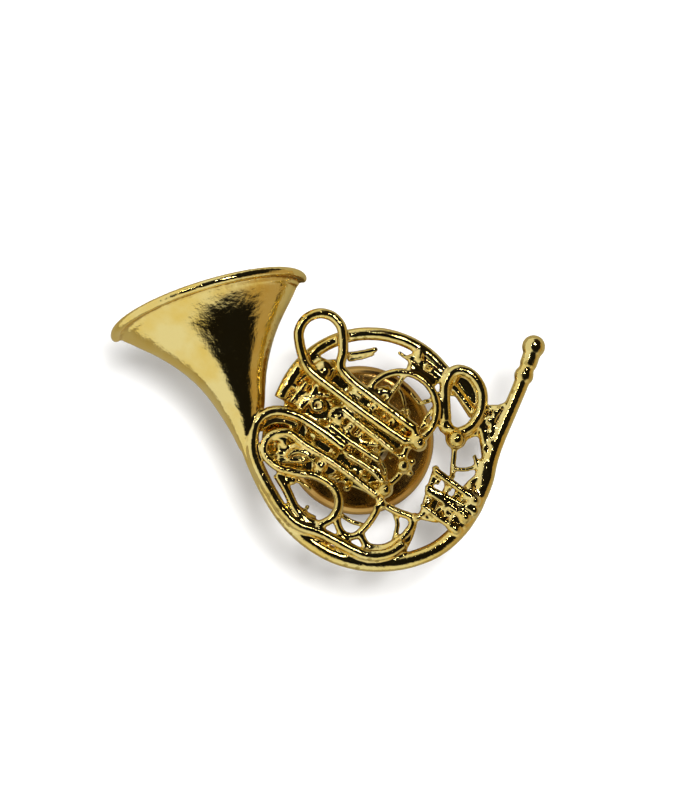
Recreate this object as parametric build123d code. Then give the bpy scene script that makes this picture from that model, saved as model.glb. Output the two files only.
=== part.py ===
from build123d import *
import os
from math import cos, radians, sin, tan

# French horn lapel pin: a gold plated casting of a double horn in open relief, a tack post
# brazed to its back, and the butterfly clutch that grips the post behind the cloth.
# Millimetres. +Z is up, the face looks along -Y and the post runs along +Y.
# The origin is where the post's shaft leaves its pad.

# ---------------------------------------------------------------- driving dimensions
PAD_THICKNESS = 0.5
PAD_RADIUS = 2.0
SOLDER_LEG = 0.3

POST_RADIUS = 0.55
SPIGOT_RADIUS = 0.38             # the foot of the post, upset through the pad's hole
SPIGOT_SHOULDER = 0.05
POST_LENGTH = 8.4
POST_TIP_LENGTH = 1.5
POST_TIP_RADIUS = 0.12
GROOVE_WIDTH = 0.56
GROOVE_DEPTH = 0.17
FIRST_GROOVE = 3.0
SECOND_GROOVE = 5.45

CLUTCH_RADIUS = 5.75
CLUTCH_FACE = 3.45               # where the flat of the clutch stands on the post at rest
SHEET = 0.32
EDGE_ROUND = 0.8
CUP_DEPTH = 1.9
FUNNEL_MOUTH = 2.1
FUNNEL_DEPTH = 0.7
PIN_HOLE_RADIUS = 0.75
ROLLED_EDGE = 0.75

FOLD_X = 2.6                     # the line about which each wing springs
FOLD_Y = 2.45
FOLD_RADIUS = 0.3
FOLD_CLEARANCE = 0.04
JAW_WIDTH = 2.4
JAW_GAP = 0.3
JAW_CLEARANCE = 0.015
WING_WIDTH = 5.2
WING_LEAN = 14.0
WING_RISE = 2.7
WING_CURL = 0.85

WEB_THICKNESS = 0.55
BELL_WALL = 0.75
BELL_BEAD_RADIUS = 0.36

BACK = -PAD_THICKNESS            # the casting's flat back lies in this plane of Y
BIG = 60.0


# ---------------------------------------------------------------- helpers
def spot(x, z, depth):
    """A point of the relief: x and z across the face, depth in front of the flat back."""
    return Vector(x, BACK - depth, z)


def smooth_route(points):
    """Straight runs joined by the largest tangent arcs that the runs have room for."""
    runs = []
    start = points[0]
    for before, here, after in zip(points, points[1:], points[2:]):
        arrive, leave = here - before, after - here
        cut = 0.45 * min(arrive.length, leave.length)
        bend_in = here - arrive.normalized() * cut
        bend_out = here + leave.normalized() * cut
        runs.append(Line(start, bend_in))
        if arrive.get_angle(leave) > 0.5:
            runs.append(TangentArc(bend_in, bend_out, tangent=arrive))
        else:
            runs.append(Line(bend_in, bend_out))
        start = bend_out
    runs.append(Line(start, points[-1]))
    return Wire(runs)


def knob(radius, at, facing=(0, -1, 0)):
    """A ball with a very small flat at each pole, as a cast bead has."""
    flat, bulge = 0.12 * radius, 0.88 * radius
    half = [Line((0, -bulge), (flat, -bulge)),
            ThreePointArc((flat, -bulge), (radius, 0), (flat, bulge)),
            Line((flat, bulge), (0, bulge)), Line((0, bulge), (0, -bulge))]
    bead = revolve(Plane.XZ * make_face(Wire(half)), Axis.Z)
    return Plane(origin=at, z_dir=facing) * bead


def tube(radius, depth, *places, ends="open"):
    """A round bar along places (x, z), or (x, z, depth) where it rises or sinks."""
    points = [spot(p[0], p[1], p[2] if len(p) > 2 else depth) for p in places]
    route = smooth_route(points)
    bar = sweep(Plane(origin=route @ 0, z_dir=route % 0) * Circle(radius), path=route)
    made = [bar]
    if ends in ("both", "start"):
        made.append(knob(radius * 1.06, points[0], -(route % 0)))
    if ends in ("both", "finish"):
        made.append(knob(radius * 1.06, points[-1], route % 1))
    return made


def ring(x, z, radius, first, last, corners):
    """Corners of a polygon whose tangent arcs follow a circle from angle first to last."""
    step = (last - first) / (corners - 1)
    outer = radius / cos(radians(abs(step)) / 2)
    angles = [radians(first + step * i) for i in range(corners)]
    return [(x + outer * cos(a), z + outer * sin(a)) for a in angles]


def ball(radius, x, z, depth):
    return [knob(radius, spot(x, z, depth))]


def plate(height, *corners):
    """A flat web of the casting, from its back up to height."""
    outline = Polyline(*[(x, z) for x, z in corners], close=True)
    face = Plane.XZ.offset(-BACK) * make_face(outline)
    return [extrude(face, amount=height, dir=(0, -1, 0))]


def disc(radius, x, z, low, high):
    """A round boss or cap whose face looks forward."""
    face = Plane(origin=spot(x, z, low), x_dir=(1, 0, 0), z_dir=(0, -1, 0)) * Circle(radius)
    return [extrude(face, amount=high - low)]


def eyelet(x, z, depth, radius, wire):
    return [Plane(origin=spot(x, z, depth), z_dir=(0, 1, 0)) * Torus(radius, wire)]


# ---------------------------------------------------------------- the horn casting
# Each station of the bell: its two edges across the face, how far the front of its mouth
# leans along the bell, and how far it stands in front of the flat back.
BELL_STATIONS = [
    ((-18.35, 7.8), (-4.3, 12.25), 1.55, 4.3),
    ((-17.0, 7.15), (-4.9, 11.1), 1.3, 3.5),
    ((-15.3, 6.35), (-5.45, 10.0), 1.0, 3.0),
    ((-13.5, 5.25), (-6.1, 8.6), 0.7, 2.65),
    ((-12.0, 3.95), (-6.65, 6.9), 0.4, 2.4),
    ((-10.95, 2.65), (-7.0, 5.0), 0.2, 2.15),
    ((-10.1, 1.35), (-7.1, 3.1), 0.05, 1.8),
    ((-9.5, 0.3), (-7.4, 1.4), 0.0, 1.5),
    ((-8.95, -0.75), (-7.55, -0.05), 0.0, 1.2),
]


def bell_section(station, shrink=0.0, shift=0.0):
    (lx, lz), (rx, rz), lean, height = station
    across = Vector(rx - lx, 0, rz - lz)
    along = Vector(-across.Z, 0, across.X).normalized()
    middle = Vector((lx + rx) / 2, BACK, (lz + rz) / 2) + along * shift
    forward = Vector(0, -height, 0) + along * lean
    flat = Plane(origin=middle, x_dir=across, z_dir=across.cross(forward))
    return flat * Ellipse(across.length / 2 - shrink, forward.length - shrink)


def bell():
    outside = loft([bell_section(s) for s in BELL_STATIONS])
    hollow_stations = BELL_STATIONS[:6]
    hollow = [bell_section(BELL_STATIONS[0], -0.6, 2.0)]
    hollow += [bell_section(s, BELL_WALL) for s in hollow_stations]
    mouth = bell_section(BELL_STATIONS[0]).edge()
    bead = sweep(
        Plane(origin=mouth @ 0, z_dir=mouth % 0) * Circle(BELL_BEAD_RADIUS), path=mouth
    )
    return [outside, bead], [loft(hollow)]


def outer_branches():
    """The wide tubing that frames the horn, with the leadpipe and its mouthpiece."""
    made = tube(0.62, 0.55, (-8.6, 0.4), (-7.9, -1.6), (-6.95, -3.6), (-5.75, -5.6),
                (-4.1, -7.3), (-1.9, -8.65), (0.6, -9.25), (3.3, -9.1), (5.8, -8.2),
                (7.6, -6.6), (8.8, -4.7), (9.3, -2.9), (9.5, -1.4))
    made += tube(0.57, 0.64, (9.05, -4.1), (9.55, -2.9), (9.8, -1.5), (10.3, 0.0),
                 (11.2, 2.1), (12.1, 4.2), (12.65, 5.7), (13.0, 6.6))
    made += ball(0.74, 12.35, 4.95, 0.66)
    made += tube(0.66, 0.65, (12.65, 5.7), (13.15, 7.2))
    mouthpiece = Cone(0.79, 0.55, 0.9)
    lean = Plane(origin=spot(12.96, 6.7, 0.65), z_dir=(-0.34, 0, -0.94))
    made += [lean * mouthpiece] + ball(0.88, 13.08, 7.12, 0.65)
    made += tube(0.42, 0.62, (9.6, -1.4), (9.45, 0.0), (9.15, 1.3), (8.85, 2.1))
    made += plate(0.7, (9.3, 2.2), (9.7, 2.75), (11.3, 2.75), (10.1, -0.6), (9.4, -0.6))
    made += ball(0.34, 9.7, 1.6, 0.8) + ball(0.3, 10.25, 1.0, 0.85) + ball(0.3, 9.9, -0.1, 0.95)
    return made


def body_ring():
    """The round branch of tubing behind the valves, and the slides it carries."""
    made = tube(0.5, 0.5, *ring(0.75, 1.15, 6.95, 163, 33, 9), (7.3, 4.6))
    made += tube(0.2, 0.85, (-1.1, 6.5), (0.1, 6.65), (1.2, 6.9), ends="both")
    made += tube(0.17, 0.85, (3.0, 6.65), (3.9, 6.0), ends="both")
    made += tube(0.31, 0.83, (3.85, 6.25), (4.55, 6.6), ends="both")
    made += tube(0.38, 0.75, (4.3, 6.15), (6.2, 4.75), ends="both")
    made += tube(0.34, 0.9, (3.9, 5.65), (5.55, 4.45), ends="both")
    made += plate(0.5, (3.9, 6.3), (5.5, 6.6), (6.6, 5.6), (6.3, 4.4), (5.2, 4.4), (3.7, 5.4))
    return made


def first_slide():
    """The tall loop above the valves: its two legs run down across the valve bed."""
    made = tube(0.4, 1.3, (3.5, 0.0), (2.0, 1.0), (0.0, 2.45), (-2.4, 4.25), (-4.0, 5.5),
                *ring(-2.9, 7.95, 1.65, 205, -15, 7), (-1.2, 6.6), (-1.55, 5.6), (-0.6, 4.5),
                (1.0, 3.3), (3.0, 1.8), (4.15, 0.95))
    made += tube(0.34, 1.3, (4.05, 1.1), (4.25, 0.5), (3.9, 0.05), (3.3, 0.1), ends="both")
    return made


def middle_slides():
    """The short slides that lie side by side across the valve bed."""
    made = tube(0.32, 1.2, (-2.15, 1.7), (-2.0, 2.4), (-1.3, 2.4), (0.0, 1.3), (1.0, 0.55),
                (2.45, -0.6), ends="finish")
    made += tube(0.3, 1.15, (-2.2, 1.15), (-0.6, -0.05), (0.3, -0.65), (1.35, -1.35), ends="both")
    made += tube(0.3, 1.1, (-0.9, -1.0), (0.3, -1.7), (1.4, -2.5), (1.9, -3.3), ends="both")
    made += tube(0.22, 1.0, (-1.9, 1.2), (-0.3, 0.2), (1.2, -0.3), ends="both")
    return made


def left_loops():
    """The two nested bends beside the bell throat, with the branch that runs from them."""
    made = tube(0.42, 1.15, (-1.1, -0.5), (-3.0, 0.95), (-4.6, 1.95), *ring(-6.2, 0.6, 1.7, 75, 180, 5),
                (-8.05, -0.6), (-7.7, -1.75), (-6.9, -3.3), (-5.85, -5.05), (-4.7, -6.3),
                (-3.0, -6.75), (-1.2, -7.75), (0.5, -8.6), (2.2, -8.45), (3.35, -7.6))
    made += tube(0.33, 1.3, (1.35, -4.1), (0.0, -3.0), (-2.0, -1.5), (-4.3, -0.1), (-5.2, 0.7),
                 *ring(-5.95, -0.5, 1.2, 95, 215, 5), (-6.2, -1.95), (-4.6, -2.35), (-3.9, -2.45))
    made += tube(0.35, 1.15, (-4.4, -2.3), (-3.0, -2.6), (-1.75, -3.5), (-1.45, -4.7),
                 (-2.0, -5.8), (-3.1, -6.3))
    made += tube(0.36, 1.0, (-2.7, -6.35), (-4.0, -6.0), (-4.9, -4.9), (-5.4, -3.7), (-6.2, -2.4))
    made += ball(0.95, -6.15, -0.35, 0.15)
    for drop in range(3):
        height = -0.35 - 0.5 * drop
        made += tube(0.26, 1.0, (-6.0, height), (-4.1, height - 0.05), ends="both")
    made += tube(0.3, 0.95, (-5.9, -2.75), (-5.0, -2.95), ends="both")
    made += tube(0.28, 0.8, (-7.3, 1.0), (-6.6, 1.5), (-5.6, 1.5), (-4.8, 1.15), ends="both")
    return made


def lower_loops():
    """The open slide bows along the bottom of the horn."""
    made = tube(0.3, 1.0, (-1.5, -4.9), (-1.75, -6.0), (-1.3, -7.0), (-0.4, -7.2), (0.5, -6.4),
                (1.2, -5.4), (1.6, -4.4), ends="both")
    made += tube(0.3, 0.9, (0.1, -7.0), (0.5, -7.9), (1.7, -8.05), (3.1, -7.4), (4.0, -6.3),
                 (3.9, -5.65), (2.7, -5.25), (1.6, -4.6), ends="both")
    made += tube(0.27, 0.8, (4.2, -5.6), (3.9, -6.9), (3.2, -8.3), ends="both")
    made += tube(0.24, 0.9, (3.8, -5.6), (4.6, -5.65), (5.8, -5.9), ends="both")
    made += tube(0.32, 0.95, (2.6, -8.35), (3.35, -7.75), ends="both")
    for x, z, size in ((1.75, -4.75, 0.26), (4.35, -5.7, 0.28), (4.75, -5.45, 0.22)):
        made += ball(size, x, z, 1.15)
    return made


def right_loops():
    """The round bow and the tall loop between the valves and the leadpipe."""
    made = tube(0.3, 1.15, (0.9, 3.7), *ring(3.05, 2.45, 2.75, 140, -30, 8), (4.9, 0.4), ends="finish")
    made += tube(0.2, 1.1, (3.4, 5.0), (2.0, 3.0), ends="both")
    made += tube(0.3, 1.05, (1.3, 3.7), (2.1, 3.7), ends="both") + ball(0.42, 1.7, 3.75, 1.0)
    made += tube(0.18, 1.0, (4.5, 2.8), (5.6, 3.2), ends="both")
    made += tube(0.17, 1.0, (4.6, 0.9), (4.9, 1.7), (5.7, 2.7), ends="both")
    made += tube(0.15, 0.97, (4.5, 2.8), (3.9, 3.6), ends="finish")
    made += eyelet(3.45, 2.2, 1.2, 0.26, 0.13)
    made += tube(0.42, 0.9, (6.5, 1.6), (6.4, 3.0), (6.4, 4.4), (7.1, 5.5), (8.4, 5.15), (9.25, 3.9),
                 (9.2, 2.3), (8.3, 0.95), (7.3, 0.6), (6.7, 0.9))
    made += ball(0.56, 6.45, 1.2, 0.75)
    made += tube(0.32, 0.45, (6.75, 4.5), (8.75, 1.9))
    made += plate(0.5, (6.4, 4.3), (7.0, 5.1), (8.0, 5.1), (8.9, 4.1), (8.9, 2.6), (8.3, 1.7),
                  (7.2, 3.4), (6.5, 3.4))
    return made


def valve_bed():
    """The web under the valves, with the caps and the small linkage standing on it."""
    made = plate(WEB_THICKNESS, (-5.75, 2.6), (-4.7, 5.3), (-3.9, 6.1), (-1.3, 6.2), (-0.9, 5.0),
                 (4.1, 0.9), (3.3, -0.5), (1.6, -0.8), (1.35, -1.6), (2.3, -3.0), (1.3, -4.2),
                 (-1.7, -2.9), (-4.2, -2.3), (-6.6, -1.8), (-7.4, -0.2), (-7.2, 1.5), (-6.2, 2.3))
    made += disc(0.78, -2.7, 5.3, 0.4, 1.25) + ball(0.62, -2.7, 5.3, 0.95)
    made += disc(0.52, -3.15, 2.75, 0.4, 1.05) + eyelet(-3.15, 2.75, 1.08, 0.4, 0.18)
    made += ball(0.52, -1.6, 1.7, 1.0) + ball(0.5, -2.95, -1.8, 1.0) + ball(0.4, -0.75, 1.05, 0.95)
    made += disc(0.62, -2.25, -1.95, 0.4, 0.95)
    made += tube(0.24, 0.75, (-5.2, 2.9), (-4.0, 4.4), ends="both")
    made += tube(0.3, 0.7, (-5.5, 3.9), (-4.6, 5.2), ends="both")
    made += tube(0.26, 0.8, (-4.5, 2.4), (-3.7, 3.3), (-3.2, 4.2), ends="both")
    for step in range(5):
        made += ball(0.3, 1.75 + 0.5 * step, 1.85 - 0.36 * step, 0.8)
    for x, z, size in ((0.05, 1.9, 0.3), (1.15, 2.45, 0.34), (-0.6, 3.6, 0.32), (-1.9, -0.95, 0.24),
                       (-1.6, -2.85, 0.28), (-0.95, -3.5, 0.3), (0.6, -1.3, 0.26), (1.15, -0.6, 0.27),
                       (-3.5, 0.5, 0.4), (-2.4, 0.9, 0.42), (-0.3, -1.3, 0.34), (0.4, -2.6, 0.3)):
        made += ball(size, x, z, WEB_THICKNESS + 0.35 * size)
    return made


def knobs():
    """The round lever knobs, each on its arm, and the larger one on its stem."""
    made = []
    for x, z, size in ((4.45, -0.15, 0.5), (3.35, -1.85, 0.46), (1.9, -3.6, 0.5)):
        made += ball(size, x, z, 1.35) + disc(size + 0.14, x, z, 0.35, 1.0)
    made += tube(0.3, 0.85, (3.9, 0.1), (3.3, -0.9), (3.25, -1.8))
    made += tube(0.25, 0.9, (3.25, -2.0), (2.85, -2.7), (2.1, -3.3))
    made += ball(0.26, 4.0, -1.5, 0.8) + ball(0.26, 3.8, -2.4, 0.75)
    made += tube(0.19, 0.64, (3.2, -2.0), (4.0, -1.5))
    made += tube(0.2, 0.7, (3.3, -1.9), (3.8, -2.4), ends="finish")
    made += ball(0.62, 7.25, 0.2, 1.15) + disc(0.8, 7.25, 0.2, 0.3, 0.85)
    made += tube(0.22, 0.56, (7.2, 0.0), (7.1, -1.0), (6.95, -2.8))
    made += tube(0.21, 0.57, (6.1, 1.0), (6.9, 0.3)) + tube(0.21, 0.57, (7.6, 0.1), (8.7, 0.6), (9.3, 0.4))
    made += tube(0.18, 0.7, (7.0, -2.05), (8.1, -2.15), (9.3, -1.6))
    return made


def keys():
    """The finger keys: four long spatulas and the rods that carry them."""
    made = []
    spatulas = (((5.6, -2.0), (8.7, -4.35)), ((5.1, -3.4), (8.6, -5.2)), ((5.05, -3.7), (8.0, -5.6)),
                ((4.75, -4.8), (7.25, -6.6)))
    for index, (start, finish) in enumerate(spatulas):
        made += tube(0.21, 1.2 + 0.02 * index, start, finish, ends="start")
        fx, fz = finish
        made += tube(0.36, 1.1 + 0.02 * index, (fx - 0.45, fz + 0.32), (fx, fz), ends="both")
    made += tube(0.3, 1.0, (7.0, -5.7), (7.75, -6.2), ends="both")
    made += tube(0.24, 0.95, (5.75, -2.0), (5.25, -3.5), (4.75, -5.3), ends="both")
    made += tube(0.22, 0.85, (6.95, -2.6), (6.5, -3.6), (5.75, -5.8), ends="both")
    made += tube(0.25, 0.8, (8.9, -2.6), (8.1, -3.3), (7.3, -4.5), (6.6, -6.1), ends="both")
    made += plate(0.5, (5.6, -4.0), (7.2, -4.6), (8.6, -4.2), (9.0, -4.9), (7.2, -7.0), (4.9, -5.1))
    for x, z, size in ((5.85, -3.05, 0.22), (5.2, -4.55, 0.24), (5.95, -5.08, 0.26), (6.55, -5.35, 0.26),
                       (7.15, -4.25, 0.26), (7.6, -4.8, 0.24), (6.9, -5.85, 0.24), (8.35, -3.5, 0.28)):
        made += ball(size, x, z, 1.05)
    return made


def joined(pieces):
    """One solid from many, taken in turn."""
    whole = pieces[0]
    for piece in pieces[1:]:
        whole = whole + piece
    return whole


def horn_casting():
    shell, hollow = bell()
    branches = [outer_branches, body_ring, first_slide, middle_slides, left_loops,
                lower_loops, right_loops, valve_bed, knobs, keys]
    horn = joined(shell) - hollow[0]
    for branch in branches:
        horn = horn + joined(branch())
    behind = Pos(0, BACK + BIG / 2, 0) * Box(2 * BIG, BIG, 2 * BIG)
    return horn - behind


# ---------------------------------------------------------------- the tack post
def turned(*profile):
    """A round piece on the post's axis from its half section, as (radius, y) corners."""
    return revolve(make_face(Polyline(*profile, close=True)), Axis.Y)


def post_pad():
    """The stamped disc that spreads the post's load over the back of the casting."""
    r, hole, mouth = PAD_RADIUS, SPIGOT_RADIUS + 0.01, POST_RADIUS + 0.02
    return turned((hole, BACK), (r, BACK), (r, -0.12), (r - 0.12, 0), (mouth, 0),
                  (mouth, -SPIGOT_SHOULDER), (hole, -SPIGOT_SHOULDER))


def solder_fillet():
    """The ring of braze round the pad's edge."""
    r, leg = PAD_RADIUS, SOLDER_LEG
    return turned((r, BACK), (r + leg, BACK), (r + 0.35 * leg, BACK + 0.35 * leg), (r, BACK + leg))


def tack_post():
    """The pointed post, with the two grooves that the clutch's jaws snap into."""
    r, shoulder = POST_RADIUS, POST_LENGTH - POST_TIP_LENGTH
    corners = [(0, BACK), (SPIGOT_RADIUS, BACK), (SPIGOT_RADIUS, -SPIGOT_SHOULDER), (r, -SPIGOT_SHOULDER)]
    for start in (FIRST_GROOVE, SECOND_GROOVE):
        corners += [(r, start), (r - GROOVE_DEPTH, start + 0.06),
                    (r - GROOVE_DEPTH, start + GROOVE_WIDTH - 0.06), (r, start + GROOVE_WIDTH)]
    corners += [(r, shoulder), (0.75 * r, shoulder + 0.45 * POST_TIP_LENGTH),
                (POST_TIP_RADIUS, POST_LENGTH - 0.05), (0, POST_LENGTH)]
    return turned(*corners)


# ---------------------------------------------------------------- the butterfly clutch
def clutch_cup():
    """The drawn cup: flat face, funnel that guides the post in, edge rolled over the plate."""
    r, t, e = CLUTCH_RADIUS, SHEET, EDGE_ROUND
    hole, mouth, deep, funnel = PIN_HOLE_RADIUS, FUNNEL_MOUTH, CUP_DEPTH, FUNNEL_DEPTH
    h, q = 0.7071, 0.5
    half = [
        Line((hole, funnel), (mouth - 0.5, 0.12)),
        ThreePointArc((mouth - 0.5, 0.12), (mouth - 0.27, 0.03), (mouth, 0)),
        Line((mouth, 0), (r - e, 0)),
        ThreePointArc((r - e, 0), (r - e + h * e, e - h * e), (r, e)),
        Line((r, e), (r, deep - q)),
        ThreePointArc((r, deep - q), (r - q + h * q, deep - q + h * q), (r - q, deep)),
        Line((r - q, deep), (r - ROLLED_EDGE, deep - 0.08)),
        Line((r - ROLLED_EDGE, deep - 0.08), (r - ROLLED_EDGE, deep - 0.08 - t)),
        Line((r - ROLLED_EDGE, deep - 0.08 - t), (r - t, deep - 0.08 - t)),
        Line((r - t, deep - 0.08 - t), (r - t, e)),
        ThreePointArc((r - t, e), (r - e + h * (e - t), e - h * (e - t)), (r - e, t)),
        Line((r - e, t), (mouth, t)),
        Line((mouth, t), (mouth - 0.35, t + 0.06)),
        Line((mouth - 0.35, t + 0.06), (hole, funnel + t)),
        Line((hole, funnel + t), (hole, funnel)),
    ]
    cup = revolve(make_face(Wire(half)), Axis.Y)
    return Pos(0, CLUTCH_FACE, 0) * cup


def across(shape_2d, width):
    """A bent sheet: its edge-on shape in x and y, run equally both ways along z."""
    return extrude(shape_2d, amount=width / 2, both=True)


def clutch_plate():
    """The spring plate held in the cup, with the two lips that the wings fold about."""
    top = CUP_DEPTH - 0.08 - SHEET
    sheet = Rot(90, 0, 0) * Cylinder(CLUTCH_RADIUS - SHEET - 0.05, SHEET)
    sheet = Pos(0, top - SHEET / 2, 0) * sheet
    window = Pos(0, top - SHEET / 2, 0) * Box(2 * FOLD_X + 0.2, 1.0, JAW_WIDTH + 0.6)
    plate_only = sheet - window
    inner, outer = FOLD_RADIUS + FOLD_CLEARANCE, FOLD_RADIUS + FOLD_CLEARANCE + 0.26
    for side in (-1, 1):
        round_lip = Circle(outer) - Circle(inner)
        wedge = Polyline((0, 0), (-side * 0.9, -2.2), (side * 3, -2.2), (side * 3, 1.6), close=True)
        lip = across(Pos(side * FOLD_X, FOLD_Y) * (round_lip & make_face(wedge)), WING_WIDTH - 0.4)
        foot_left = side * (FOLD_X + 0.12)
        foot_right = side * (FOLD_X + 0.5)
        drop = FOLD_Y - inner - 0.1
        foot = Polyline((foot_left, top - 0.1), (foot_right, top - 0.1), (foot_right, drop + 0.25),
                        (foot_left, drop), close=True)
        plate_only = plate_only + lip + across(make_face(foot), WING_WIDTH - 0.4)
    return Pos(0, CLUTCH_FACE, 0) * plate_only


def wing(side):
    """One wing: jaw toward the post, round fold, leaning sheet and the curl to pinch."""
    fold = Vector(side * FOLD_X, FOLD_Y)
    lean = radians(WING_LEAN)
    up = Vector(side * sin(lean), cos(lean))
    out = Vector(side * cos(lean), -sin(lean))
    t = SHEET
    near = fold - out * (t / 2)
    far = fold + out * (t / 2)
    curl = WING_CURL
    mid = up * WING_RISE + out * (t / 2 + curl)
    turn = 225
    end = radians(turn)
    end_dir = out * -cos(end) + up * sin(end)
    half = radians(turn / 2)
    half_dir = out * -cos(half) + up * sin(half)
    centre = fold + up * WING_RISE + out * (curl - t / 2)
    outline = [
        Line(near, near + up * WING_RISE),
        ThreePointArc(near + up * WING_RISE, centre + half_dir * curl, centre + end_dir * curl),
        Line(centre + end_dir * curl, centre + end_dir * (curl - t)),
        ThreePointArc(centre + end_dir * (curl - t), centre + half_dir * (curl - t), far + up * WING_RISE),
        Line(far + up * WING_RISE, far),
        Line(far, near),
    ]
    blade = across(make_face(Wire(outline)), WING_WIDTH)
    roll = across(Pos(fold) * Circle(FOLD_RADIUS), WING_WIDTH - 0.4)
    jaw_shape = Polyline((side * JAW_GAP / 2, FOLD_Y - 0.04), (side * FOLD_X, FOLD_Y - 0.04),
                         (side * (FOLD_X - 0.28), FOLD_Y - 0.3), (side * JAW_GAP / 2, FOLD_Y - 0.3),
                         close=True)
    jaw = across(make_face(jaw_shape), JAW_WIDTH)
    bite = Pos(0, FOLD_Y, 0) * Rot(90, 0, 0) * Cylinder(POST_RADIUS + JAW_CLEARANCE, 3)
    return Pos(0, CLUTCH_FACE, 0) * (blade + roll + (jaw - bite))


# ---------------------------------------------------------------- write the parts
os.makedirs("parts", exist_ok=True)
NODES = {
    "horn_casting": horn_casting(),
    "solder_fillet": solder_fillet(),
    "post_pad": post_pad(),
    "tack_post": tack_post(),
    "clutch_cup": clutch_cup(),
    "clutch_plate": clutch_plate(),
    "wing_left": wing(-1),
    "wing_right": wing(1),
}
for name, shape in NODES.items():
    box = shape.bounding_box()
    print(name, len(shape.solids()), round(shape.volume, 3), shape.is_valid, box.min, box.max)
    export_step(shape, f"parts/{name}.step")
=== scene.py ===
from math import cos, pi, radians, sin

import bmesh
import bpy
from mathutils import Matrix, Vector


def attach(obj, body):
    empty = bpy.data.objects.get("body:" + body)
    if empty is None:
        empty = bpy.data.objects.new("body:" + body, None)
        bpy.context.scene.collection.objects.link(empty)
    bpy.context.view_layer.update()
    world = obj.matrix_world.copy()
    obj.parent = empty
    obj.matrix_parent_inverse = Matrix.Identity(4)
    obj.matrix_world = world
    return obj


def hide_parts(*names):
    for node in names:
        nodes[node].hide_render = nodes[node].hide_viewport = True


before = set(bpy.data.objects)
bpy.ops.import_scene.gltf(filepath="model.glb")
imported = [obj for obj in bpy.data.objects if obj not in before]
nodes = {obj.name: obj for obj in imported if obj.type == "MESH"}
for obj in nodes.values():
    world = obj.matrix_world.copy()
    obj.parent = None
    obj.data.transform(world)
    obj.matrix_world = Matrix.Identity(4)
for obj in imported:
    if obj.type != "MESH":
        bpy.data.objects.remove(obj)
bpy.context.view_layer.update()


# The horn figure: one lost-wax casting, its tubes, slides, knobs and keys all one piece of
# metal with softly filled joints, tumbled bright and gold plated. Fine cast grain stays in
# the bell. The copy of the casting is given the small cast details and its soft skin here.
MM = 0.001
MM_PER_METRE = 1000.0
HORN_BACK = -0.5
SKIN_VOXEL = 0.112 * MM
PLATING_THICKNESS = 0.006 * MM
WIRE_SIDES = 10
MERGE_DISTANCE = 2e-6


def on_face(x, z, depth):
    return Vector((x, HORN_BACK - depth, z)) * MM


def cast_wire(cast, wire_radius, depth, *places):
    """A round bar of metal laid over the casting along places (x, z) or (x, z, depth).

    Each inner place is rounded into three points, and a round face is drawn out along them."""
    points = [on_face(p[0], p[1], p[2] if len(p) > 2 else depth) for p in places]
    smooth = [points[0]]
    for before, here, after in zip(points, points[1:], points[2:]):
        smooth.append(here.lerp(before, 0.3))
        smooth.append(here.lerp((before + after) / 2, 0.12))
        smooth.append(here.lerp(after, 0.3))
    smooth.append(points[-1])
    made = bmesh.ops.create_circle(cast, cap_ends=True, radius=wire_radius * MM, segments=WIRE_SIDES)
    ring = made["verts"]
    face = ring[0].link_faces[0]
    heading = Vector((0, 0, 1))
    at = Vector((0, 0, 0))
    for index, point in enumerate(smooth):
        if index == 0:
            onward = smooth[1] - point
        elif index == len(smooth) - 1:
            onward = point - smooth[-2]
        else:
            onward = smooth[index + 1] - smooth[index - 1]
        onward.normalize()
        if index:
            grown = bmesh.ops.extrude_face_region(cast, geom=[face])["geom"]
            old = face
            face = next(g for g in grown if isinstance(g, bmesh.types.BMFace))
            if index > 1:
                bmesh.ops.delete(cast, geom=[old], context="FACES_ONLY")
            ring = list(face.verts)
        turn = heading.rotation_difference(onward).to_matrix().to_4x4()
        place = Matrix.Translation(point) @ turn @ Matrix.Translation(-at)
        bmesh.ops.transform(cast, matrix=place, verts=ring)
        heading, at = onward, point


def cast_bead(cast, bead_radius, x, z, depth):
    """A round knob or a blob of solder at (x, z), its middle depth in front of the flat back."""
    made = bmesh.ops.create_icosphere(cast, subdivisions=2, radius=bead_radius * MM)["verts"]
    bmesh.ops.translate(cast, vec=on_face(x, z, depth), verts=made)


horn_details = bmesh.new()

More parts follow.
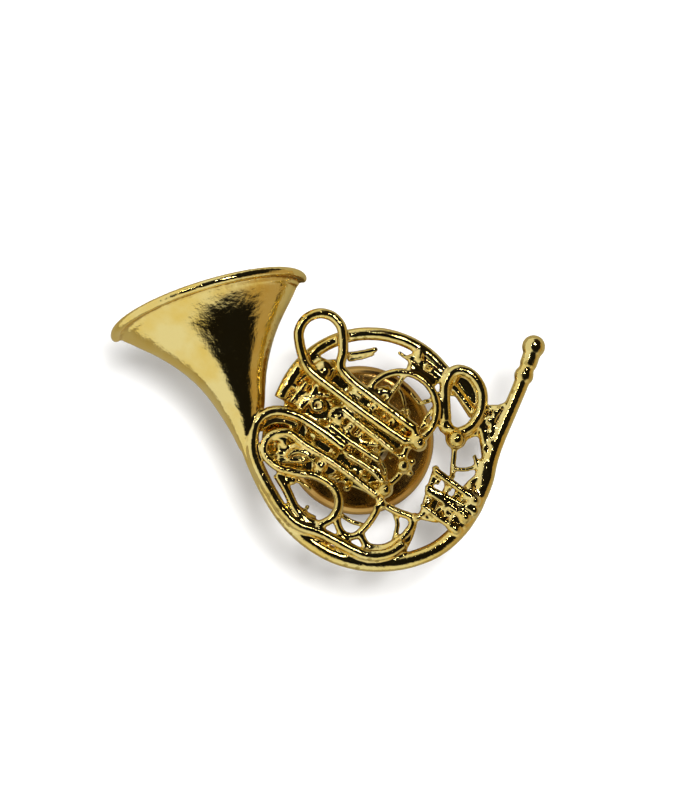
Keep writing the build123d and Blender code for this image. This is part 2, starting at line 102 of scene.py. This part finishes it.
# The small linkages, stays and lugs of the valve bed: radius, depth, then the bar's places.
for wire in (
    (0.16, 1.45, (-5.4, -1.15), (-4.9, -0.6), (-4.0, -0.9), (-3.3, -1.6)),
    (0.2, 1.2, (-6.6, 0.1), (-6.2, 0.3), (-5.4, 0.0)),
    (0.18, 0.8, (-3.8, 5.6), (-3.1, 6.25), (-2.2, 5.9)),
    (0.2, 0.7, (-5.1, 4.6), (-4.5, 3.7), (-3.9, 3.1)),
    (0.22, 0.8, (-4.7, 2.6), (-4.2, 3.3), (-3.2, 3.7), (-2.2, 3.4)),
    (0.2, 1.15, (-1.35, 3.3), (-0.5, 3.75), (0.1, 3.2)),
    (0.17, 1.2, (0.4, 2.1), (0.9, 2.6), (1.5, 2.4)),
    (0.17, 1.15, (1.8, 1.3), (2.4, 1.6), (2.9, 1.3)),
    (0.15, 1.1, (2.9, 0.6), (3.3, 0.9), (3.6, 0.7)),
    (0.2, 0.9, (-2.9, 1.5), (-2.5, 0.9), (-1.7, 0.3), (-0.7, -0.6)),
    (0.18, 0.95, (-3.9, 1.2), (-3.2, 0.5), (-2.3, 0.0), (-1.4, -0.8)),
    (0.18, 0.8, (-5.0, -2.7), (-4.2, -3.2), (-3.6, -3.6)),
    (0.22, 0.7, (-5.6, -3.6), (-5.0, -4.6), (-4.1, -5.4), (-3.3, -5.8)),
    (0.2, 0.75, (1.0, 4.4), (1.9, 5.1), (2.8, 4.9)),
    (0.18, 0.75, (3.4, 2.6), (3.2, 3.6), (2.6, 4.3)),
    (0.2, 0.9, (4.6, 5.9), (5.9, 4.9)),
    (0.2, 0.95, (4.2, 5.2), (5.3, 4.4)),
    (0.18, 0.7, (-0.9, 6.1), (0.2, 6.3), (1.1, 6.6)),
    (0.16, 1.0, (2.4, -0.7), (3.0, -1.1), (3.3, -1.6)),
    (0.16, 0.9, (1.6, -1.4), (2.0, -2.2), (1.9, -3.0)),
    (0.18, 0.9, (6.1, -2.4), (6.6, -3.2), (6.2, -4.2)),
    (0.16, 1.0, (7.4, -3.5), (7.0, -4.4), (6.3, -5.2)),
    (0.18, 0.8, (8.6, -1.0), (8.9, -2.0), (8.7, -3.2)),
    (0.2, 0.9, (10.6, 2.6), (10.0, 1.6), (9.8, 0.2)),
    (0.18, 0.7, (9.4, 2.5), (10.2, 2.5), (11.0, 2.8)),
    (0.2, 0.75, (2.6, -5.3), (2.9, -6.2), (2.6, -7.4)),
    (0.2, 0.6, (-1.5, -5.4), (-0.7, -6.0), (0.3, -6.3)),
    (0.29, 1.2, (5.6, -2.15), (7.0, -3.15), (8.6, -4.35)),
    (0.27, 1.2, (5.25, -3.6), (6.6, -4.7), (7.9, -5.6)),
    (0.27, 1.15, (4.75, -4.8), (6.0, -5.8), (7.2, -6.5)),
):
    cast_wire(horn_details, *wire)

# The blobs of solder, the screw heads and, at the end, the valve balls and the ends of the keys.
for bead in (
    (0.27, -4.9, -0.75, 1.3), (0.22, -5.6, -0.2, 1.2), (0.25, -4.3, -1.5, 1.1), (0.2, -6.5, -1.0, 1.15),
    (0.24, -4.2, 3.9, 0.7), (0.22, -1.9, 3.0, 0.8), (0.2, -1.0, 2.9, 0.85), (0.24, -0.45, 3.75, 1.25),
    (0.22, 0.95, 2.55, 1.3), (0.2, 2.4, 1.55, 1.25), (0.18, 3.2, 0.85, 1.25), (0.2, -2.1, 0.6, 1.0),
    (0.2, -3.4, -0.1, 1.05), (0.24, 0.1, 0.5, 0.95), (0.2, -0.5, -2.4, 0.9), (0.22, 1.0, -3.3, 0.9),
    (0.2, 2.3, -1.2, 0.8), (0.24, 6.1, -4.3, 1.1), (0.2, 6.7, -3.6, 1.1), (0.22, 7.9, -4.2, 1.2),
    (0.2, 5.5, -4.1, 1.1), (0.24, 6.4, -4.9, 1.2), (0.22, 9.3, -0.6, 1.0), (0.24, 10.1, 2.2, 0.9),
    (0.2, 9.6, 0.7, 0.9), (0.26, 2.1, 4.0, 0.85), (0.22, 5.1, 1.2, 1.0), (0.2, 4.9, 3.0, 1.1),
    (0.24, 4.5, 6.3, 1.1), (0.22, 5.2, 5.6, 1.2), (0.2, 3.7, 6.3, 1.0), (0.22, -4.5, -3.0, 0.9),
    (0.2, -3.9, -4.9, 0.8), (0.22, 3.6, -6.9, 0.9), (0.24, 0.2, -7.1, 1.0), (0.2, 1.2, -4.9, 1.2),
    (0.58, 4.45, -0.1, 1.4), (0.53, 3.28, -1.82, 1.4), (0.58, 1.88, -3.6, 1.4), (0.7, 7.25, 0.17, 1.25),
    (0.44, 8.62, -4.42, 1.2), (0.42, 7.92, -5.68, 1.2), (0.42, 7.2, -6.55, 1.15), (0.34, 8.6, -5.3, 0.95),
    (0.32, 7.85, -6.3, 0.95), (0.4, -2.9, -1.85, 1.1), (0.42, -1.55, 1.75, 1.15),
):
    cast_bead(horn_details, *bead)

# The turned line below the bell's rim: a thin raised ring, half an ellipse round the bell.
RIM_LINE_RADIUS = 0.13
RIM_LINE_DEPTH = 3.74
RIM_LINE_RISE = 1.45
RIM_LINE_STEPS = 24
rim_left, rim_right = Vector((-17.62, 0, 7.47)), Vector((-4.62, 0, 11.68))
rim_across = (rim_right - rim_left) / 2
rim_along = Vector((-rim_across.z, 0, rim_across.x)).normalized()
rim_forward = Vector((0, -RIM_LINE_DEPTH, 0)) + rim_along * RIM_LINE_RISE
rim_middle = (rim_left + rim_right) / 2 + Vector((0, HORN_BACK, 0))
rim_line = []
for step in range(RIM_LINE_STEPS + 1):
    angle = radians(3 + 174 * step / RIM_LINE_STEPS)
    at = rim_middle + rim_across * cos(angle) + rim_forward * sin(angle)
    rim_line.append((at.x, at.z, HORN_BACK - at.y))
cast_wire(horn_details, RIM_LINE_RADIUS, 0, *rim_line)

bmesh.ops.recalc_face_normals(horn_details, faces=horn_details.faces)
details_mesh = bpy.data.meshes.new("horn_details")
horn_details.to_mesh(details_mesh)
horn_details.free()

# The casting's own mesh and the details become one body: a skin is drawn over both, its sharp
# corners are tumbled off, and the plating adds its thickness.
horn_bm = bmesh.new()
horn_bm.from_mesh(nodes["horn_casting"].data)
bmesh.ops.remove_doubles(horn_bm, verts=horn_bm.verts, dist=MERGE_DISTANCE)
horn_bm.from_mesh(details_mesh)
horn_mesh = bpy.data.meshes.new("horn_figure")
horn_bm.to_mesh(horn_mesh)
horn_bm.free()
horn = bpy.data.objects.new("horn_figure", horn_mesh)
bpy.context.collection.objects.link(horn)
skin = horn.modifiers.new("cast_skin", "REMESH")
skin.mode = "VOXEL"
skin.voxel_size = SKIN_VOXEL
skin.use_smooth_shade = True
tumbled = horn.modifiers.new("tumbled", "SMOOTH")
tumbled.factor = 0.5
tumbled.iterations = 5
plating = horn.modifiers.new("plating", "DISPLACE")
plating.strength = PLATING_THICKNESS
plating.mid_level = 0.0


def cast_grain_group():
    """Height of the fine skin that investment leaves, with broader hammer-soft ripples."""
    group = bpy.data.node_groups.new("cast_grain", "ShaderNodeTree")
    for name, value in (("Grain Size", 0.25), ("Ripple Size", 1.2), ("Grain", 0.35)):
        socket = group.interface.new_socket(name, in_out="INPUT", socket_type="NodeSocketFloat")
        socket.default_value = value
    group.interface.new_socket("Height", in_out="OUTPUT", socket_type="NodeSocketFloat")
    made = group.nodes.new
    join = group.links.new
    entry, leave = made("NodeGroupInput"), made("NodeGroupOutput")
    where = made("ShaderNodeTexCoord")

    def noise(size_socket, detail):
        scale = made("ShaderNodeMath")
        scale.operation = "DIVIDE"
        scale.inputs[0].default_value = MM_PER_METRE
        join(entry.outputs[size_socket], scale.inputs[1])
        texture = made("ShaderNodeTexNoise")
        texture.inputs["Detail"].default_value = detail
        texture.inputs["Roughness"].default_value = 0.55
        join(where.outputs["Object"], texture.inputs["Vector"])
        join(scale.outputs[0], texture.inputs["Scale"])
        return texture.outputs["Fac"]

    fine, broad = noise("Grain Size", 3.0), noise("Ripple Size", 1.0)
    weigh = made("ShaderNodeMath")
    weigh.operation = "MULTIPLY"
    join(fine, weigh.inputs[0])
    join(entry.outputs["Grain"], weigh.inputs[1])
    total = made("ShaderNodeMath")
    total.operation = "ADD"
    join(weigh.outputs[0], total.inputs[0])
    join(broad, total.inputs[1])
    join(total.outputs[0], leave.inputs["Height"])
    return group


def plate_tone_group():
    """A mask for plating that is thinner and redder in patches, and a second of rub marks."""
    group = bpy.data.node_groups.new("plate_tone", "ShaderNodeTree")
    size = group.interface.new_socket("Patch Size", in_out="INPUT", socket_type="NodeSocketFloat")
    size.default_value = 2.0
    for name in ("Patch", "Rub"):
        group.interface.new_socket(name, in_out="OUTPUT", socket_type="NodeSocketFloat")
    made = group.nodes.new
    join = group.links.new
    entry, leave = made("NodeGroupInput"), made("NodeGroupOutput")
    where = made("ShaderNodeTexCoord")
    scale = made("ShaderNodeMath")
    scale.operation = "DIVIDE"
    scale.inputs[0].default_value = MM_PER_METRE
    join(entry.outputs["Patch Size"], scale.inputs[1])
    cloud = made("ShaderNodeTexNoise")
    cloud.inputs["Detail"].default_value = 4.0
    join(where.outputs["Object"], cloud.inputs["Vector"])
    join(scale.outputs[0], cloud.inputs["Scale"])
    patch = made("ShaderNodeMapRange")
    patch.inputs["From Min"].default_value = 0.42
    patch.inputs["From Max"].default_value = 0.68
    join(cloud.outputs["Fac"], patch.inputs["Value"])
    join(patch.outputs["Result"], leave.inputs["Patch"])
    specks = made("ShaderNodeTexVoronoi")
    specks.inputs["Scale"].default_value = MM_PER_METRE / RUB_MARK_SIZE
    join(where.outputs["Object"], specks.inputs["Vector"])
    rub = made("ShaderNodeMapRange")
    rub.inputs["From Min"].default_value = 0.34
    rub.inputs["From Max"].default_value = 0.1
    join(specks.outputs["Distance"], rub.inputs["Value"])
    join(rub.outputs["Result"], leave.inputs["Rub"])
    return group


RUB_MARK_SIZE = 1 / 2.6
CAST_GRAIN = cast_grain_group()
PLATE_TONE = plate_tone_group()
# Where the painted shade in the hollows begins and where it is full, by pointiness.
HOLLOW_SHADE_STARTS, HOLLOW_SHADE_FULL = 0.495, 0.43
# Where the painted dark reflection along the thin tubes' crowns begins and where it is full, by
# pointiness.
CROWN_SHADE_STARTS, CROWN_SHADE_FULL = 0.505, 0.55
BELL_ENDS, TUBES_START = -7.2, -6.2


def plated(name, bright, deep, hollow_shade, shine, dull, grain, ripple, grain_weight, bump, patch_size,
           narrow_shade=None):
    """A polished metal. bright and deep are its two tones in patches as wide as patch_size.

    Its hollow tone is painted shade, laid into its hollows where the surface curves inward. The narrow
    tone, if given, is a painted dark reflection: a deeper tone laid along the rounded crowns of the thin
    tubework past the bell. shine and dull are its roughness, the second in the rub marks. grain and
    ripple are the sizes of its skin's bumps, grain_weight the share of the first, bump the height."""
    material = bpy.data.materials.new(name)
    material.use_nodes = True
    tree = material.node_tree
    metal = tree.nodes["Principled BSDF"]
    metal.inputs["Metallic"].default_value = 1.0
    tone = tree.nodes.new("ShaderNodeGroup")
    tone.node_tree = PLATE_TONE
    tone.inputs["Patch Size"].default_value = patch_size
    colour = tree.nodes.new("ShaderNodeMix")
    colour.data_type = "RGBA"
    colour.inputs["A"].default_value = (*bright, 1)
    colour.inputs["B"].default_value = (*deep, 1)
    tree.links.new(tone.outputs["Patch"], colour.inputs["Factor"])
    shape = tree.nodes.new("ShaderNodeNewGeometry")
    # Painted shade: the colour turns to the dark hollow tone where the surface curves inward, in creases
    # and recesses.
    hollow_shade_mask = tree.nodes.new("ShaderNodeMapRange")
    hollow_shade_mask.inputs["From Min"].default_value = HOLLOW_SHADE_STARTS
    hollow_shade_mask.inputs["From Max"].default_value = HOLLOW_SHADE_FULL
    tree.links.new(shape.outputs["Pointiness"], hollow_shade_mask.inputs["Value"])
    shaded_hollows = tree.nodes.new("ShaderNodeMix")
    shaded_hollows.data_type = "RGBA"
    shaded_hollows.inputs["B"].default_value = (*hollow_shade, 1)
    tree.links.new(hollow_shade_mask.outputs["Result"], shaded_hollows.inputs["Factor"])
    body = colour.outputs["Result"]
    # Painted dark reflection: past the bell, the rounded crowns of the thin tubes are painted a deeper
    # tone, standing in for the dark they would mirror.
    if narrow_shade:
        dark_crown_mask = tree.nodes.new("ShaderNodeMapRange")
        dark_crown_mask.inputs["From Min"].default_value = CROWN_SHADE_STARTS
        dark_crown_mask.inputs["From Max"].default_value = CROWN_SHADE_FULL
        tree.links.new(shape.outputs["Pointiness"], dark_crown_mask.inputs["Value"])
        where = tree.nodes.new("ShaderNodeTexCoord")
        past_bell = tree.nodes.new("ShaderNodeVectorMath")
        past_bell.operation = "DOT_PRODUCT"
        past_bell.inputs[1].default_value = (MM_PER_METRE, 0, -0.17 * MM_PER_METRE)
        tree.links.new(where.outputs["Object"], past_bell.inputs[0])
        bell_end = tree.nodes.new("ShaderNodeMapRange")
        bell_end.inputs["From Min"].default_value = BELL_ENDS
        bell_end.inputs["From Max"].default_value = TUBES_START
        tree.links.new(past_bell.outputs["Value"], bell_end.inputs["Value"])
        tree.links.new(bell_end.outputs["Result"], dark_crown_mask.inputs["To Max"])
        painted_dark_crowns = tree.nodes.new("ShaderNodeMix")
        painted_dark_crowns.data_type = "RGBA"
        painted_dark_crowns.inputs["B"].default_value = (*narrow_shade, 1)
        tree.links.new(dark_crown_mask.outputs["Result"], painted_dark_crowns.inputs["Factor"])
        tree.links.new(body, painted_dark_crowns.inputs["A"])
        body = painted_dark_crowns.outputs["Result"]
    tree.links.new(body, shaded_hollows.inputs["A"])
    tree.links.new(shaded_hollows.outputs["Result"], metal.inputs["Base Color"])
    sheen = tree.nodes.new("ShaderNodeMapRange")
    sheen.inputs["To Min"].default_value = shine
    sheen.inputs["To Max"].default_value = dull
    tree.links.new(tone.outputs["Rub"], sheen.inputs["Value"])
    tree.links.new(sheen.outputs["Result"], metal.inputs["Roughness"])
    skin_height = tree.nodes.new("ShaderNodeGroup")
    skin_height.node_tree = CAST_GRAIN
    skin_height.inputs["Grain Size"].default_value = grain
    skin_height.inputs["Ripple Size"].default_value = ripple
    skin_height.inputs["Grain"].default_value = grain_weight
    relief = tree.nodes.new("ShaderNodeBump")
    relief.inputs["Strength"].default_value = 1.0
    relief.inputs["Distance"].default_value = bump * MM
    tree.links.new(skin_height.outputs["Height"], relief.inputs["Height"])
    tree.links.new(relief.outputs["Normal"], metal.inputs["Normal"])
    return material


# The casting's gold is painted darker in its hollows (painted shade) and along the crowns of the thin
# tubes past the bell (painted dark reflection).
horn_mesh.materials.append(plated(
    "gold_plated_casting", bright=(0.95, 0.78, 0.31), deep=(0.91, 0.66, 0.16), hollow_shade=(0.36, 0.15, 0.02),
    shine=0.07, dull=0.15, grain=0.28, ripple=1.2, grain_weight=0.45, bump=0.05, patch_size=2.6,
    narrow_shade=(0.58, 0.44, 0.13)))
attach(horn, "pin")
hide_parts("horn_casting")


# The pad and the post: a stamped disc and a drawn, pointed wire, brazed to the flat of the
# casting's back and plated with it. Drawing leaves the wire smoother than the casting.
def dress(node, material):
    piece = nodes[node]
    piece.data.materials.clear()
    piece.data.materials.append(material)


drawn_wire = plated(
    "gold_plated_wire", bright=(1.0, 0.80, 0.42), deep=(0.95, 0.68, 0.28), hollow_shade=(0.6, 0.34, 0.1),
    shine=0.12, dull=0.26, grain=0.12, ripple=0.9, grain_weight=0.5, bump=0.015, patch_size=1.6)
dress("tack_post", drawn_wire)
dress("post_pad", drawn_wire)


# The braze: a thin ring of filler drawn round the pad by the torch, plated over but left
# rougher and a little paler than the metal on either side.
plated_braze = plated(
    "plated_braze", bright=(0.95, 0.78, 0.46), deep=(0.75, 0.55, 0.28), hollow_shade=(0.5, 0.3, 0.12),
    shine=0.3, dull=0.5, grain=0.2, ripple=0.7, grain_weight=0.8, bump=0.05, patch_size=0.8)
dress("solder_fillet", plated_braze)


# The butterfly clutch: cup, spring plate and wings stamped from thin brass strip, the cup's edge rolled
# over the plate. The cup and plate are painted a deep brown, painted shade for the shadow and dark
# reflections the disc takes behind the horn; the wings keep a brighter brass.
shaded_strip_brass = plated(
    "stamped_brass", bright=(0.66, 0.42, 0.13), deep=(0.46, 0.25, 0.06), hollow_shade=(0.3, 0.14, 0.03),
    shine=0.2, dull=0.27, grain=0.3, ripple=2.2, grain_weight=0.15, bump=0.03, patch_size=3.6)
dress("clutch_cup", shaded_strip_brass)
dress("clutch_plate", shaded_strip_brass)
spring_brass = plated(
    "spring_brass", bright=(0.93, 0.68, 0.31), deep=(0.68, 0.42, 0.15), hollow_shade=(0.4, 0.2, 0.05),
    shine=0.14, dull=0.28, grain=0.14, ripple=1.4, grain_weight=0.4, bump=0.02, patch_size=2.4)
dress("wing_left", spring_brass)
dress("wing_right", spring_brass)


# The white table that the pin is laid out against, standing behind it and open from behind.
BACKDROP_Y = 9.6
BACKDROP_HALF = 160
BACKDROP_GLOW = 0.08
backdrop_bm = bmesh.new()
bmesh.ops.create_grid(backdrop_bm, x_segments=1, y_segments=1, size=BACKDROP_HALF * MM)
bmesh.ops.rotate(backdrop_bm, matrix=Matrix.Rotation(radians(90), 3, "X"), verts=backdrop_bm.verts)
bmesh.ops.translate(backdrop_bm, vec=(0, BACKDROP_Y * MM, 0), verts=backdrop_bm.verts)
backdrop_mesh = bpy.data.meshes.new("backdrop")
backdrop_bm.to_mesh(backdrop_mesh)
backdrop_bm.free()
backdrop = bpy.data.objects.new("backdrop", backdrop_mesh)
bpy.context.collection.objects.link(backdrop)
paper = bpy.data.materials.new("white_paper")
paper.use_nodes = True
paper_tree = paper.node_tree
paper_shader = paper_tree.nodes["Principled BSDF"]
paper_shader.inputs["Roughness"].default_value = 0.9
paper_shader.inputs["Specular IOR Level"].default_value = 0.0
paper_shader.inputs["Emission Color"].default_value = (1, 1, 1, 1)
seen = paper_tree.nodes.new("ShaderNodeLightPath")
glow = paper_tree.nodes.new("ShaderNodeMath")
glow.operation = "MULTIPLY"
glow.inputs[1].default_value = BACKDROP_GLOW
paper_tree.links.new(seen.outputs["Is Camera Ray"], glow.inputs[0])
paper_tree.links.new(glow.outputs[0], paper_shader.inputs["Emission Strength"])
# Painted reflection: seen in the metal's mirror the paper is painted dark, a painted shade standing in
# for the shadowed table close behind the pin; seen straight on it stays white.
paper_reflected_shade = paper_tree.nodes.new("ShaderNodeMix")
paper_reflected_shade.data_type = "RGBA"
paper_reflected_shade.inputs["A"].default_value = (0.92, 0.92, 0.92, 1)
paper_reflected_shade.inputs["B"].default_value = (0.30, 0.27, 0.20, 1)
paper_tree.links.new(seen.outputs["Is Glossy Ray"], paper_reflected_shade.inputs["Factor"])
paper_tree.links.new(paper_reflected_shade.outputs["Result"], paper_shader.inputs["Base Color"])
facing = paper_tree.nodes.new("ShaderNodeNewGeometry")
open_back = paper_tree.nodes.new("ShaderNodeBsdfTransparent")
one_side = paper_tree.nodes.new("ShaderNodeMixShader")
paper_tree.links.new(facing.outputs["Backfacing"], one_side.inputs["Fac"])
paper_tree.links.new(paper_shader.outputs["BSDF"], one_side.inputs[1])
paper_tree.links.new(open_back.outputs["BSDF"], one_side.inputs[2])
paper_tree.links.new(one_side.outputs["Shader"], paper_tree.nodes["Material Output"].inputs["Surface"])
backdrop_mesh.materials.append(paper)


# The room: white all round, warmer on the right, with a dark place in front where the lens and
# its holder stand and a smaller one above right of it.
world = bpy.data.worlds.new("light_tent")
bpy.context.scene.world = world
world.use_nodes = True
tent = world.node_tree
sky = tent.nodes["Background"]
direction = tent.nodes.new("ShaderNodeTexCoord")


def tent_side(toward, edge_in, edge_out):
    """A mask that is 1 in the directions near toward and falls to 0 away from it."""
    dot = tent.nodes.new("ShaderNodeVectorMath")
    dot.operation = "DOT_PRODUCT"
    dot.inputs[1].default_value = Vector(toward).normalized()
    tent.links.new(direction.outputs["Generated"], dot.inputs[0])
    mask = tent.nodes.new("ShaderNodeMapRange")
    mask.interpolation_type = "SMOOTHSTEP"
    mask.inputs["From Min"].default_value = edge_out
    mask.inputs["From Max"].default_value = edge_in
    tent.links.new(dot.outputs["Value"], mask.inputs["Value"])
    return mask.outputs["Result"]


def tent_layer(under, colour, mask):
    """The tent's colour so far, a tuple or a socket, with colour laid over it where mask is 1."""
    mix = tent.nodes.new("ShaderNodeMix")
    mix.data_type = "RGBA"
    if isinstance(under, tuple):
        mix.inputs["A"].default_value = (*under, 1)
    else:
        tent.links.new(under, mix.inputs["A"])
    mix.inputs["B"].default_value = (*colour, 1)
    tent.links.new(mask, mix.inputs["Factor"])
    return mix.outputs["Result"]


cloth = tent_layer((0.92, 0.92, 0.90), (0.50, 0.36, 0.17), tent_side((1.0, -0.25, -0.1), 0.95, 0.40))
cloth = tent_layer(cloth, (0.03, 0.02, 0.01), tent_side((0.50, -0.48, 0.72), 0.90, 0.82))
cloth = tent_layer(cloth, (0.010, 0.009, 0.008), tent_side((0.30, -0.95, 0.05), 0.80, 0.64))
tent.links.new(cloth, sky.inputs["Color"])
sky.inputs["Strength"].default_value = 0.85


# The lamps: a key box just above and right of the lens throws the close, soft shadow down and
# to the left, and two small bright sparks draw the white lines along the polished crowns.
def lamp(name, size, power, at):
    """A square lamp, size metres across, standing at a place and turned toward the pin."""
    light = bpy.data.lights.new(name, "AREA")
    light.shape = "SQUARE"
    light.size = size
    light.energy = power
    holder = bpy.data.objects.new(name, light)
    bpy.context.collection.objects.link(holder)
    holder.location = at
    holder.rotation_euler = (LAMP_AIM - Vector(at)).to_track_quat("-Z", "Y").to_euler()
    return holder


LAMP_AIM = Vector((0, 0, 0.002))
key_box = lamp("key_box", 0.08, 0.98, (0.046, -0.29, 0.052))
key_box.visible_glossy = False
lamp("spark_right", 0.030, 0.085, (0.060, -0.28, 0.095))
lamp("spark_left", 0.020, 0.030, (-0.085, -0.26, 0.060))


# The camera stands square in front of the pin, far back, with a long lens.
VIEW_MIDDLE = (-0.7125, -1.5, 3.1125)
VIEW_HEIGHT = 60.0
LENS_LENGTH, FILM_HEIGHT = 120, 36
lens = bpy.data.cameras.new("lens")
lens.lens = LENS_LENGTH
lens.sensor_fit = "VERTICAL"
lens.sensor_height = FILM_HEIGHT
lens.clip_start = 0.01
camera = bpy.data.objects.new("camera", lens)
bpy.context.collection.objects.link(camera)
camera_back = VIEW_HEIGHT * LENS_LENGTH / FILM_HEIGHT
camera.location = (Vector(VIEW_MIDDLE) - Vector((0, camera_back, 0))) * MM
camera.rotation_euler = (pi / 2, 0, 0)
bpy.context.scene.camera = camera
bpy.context.scene.view_settings.view_transform = "Standard"
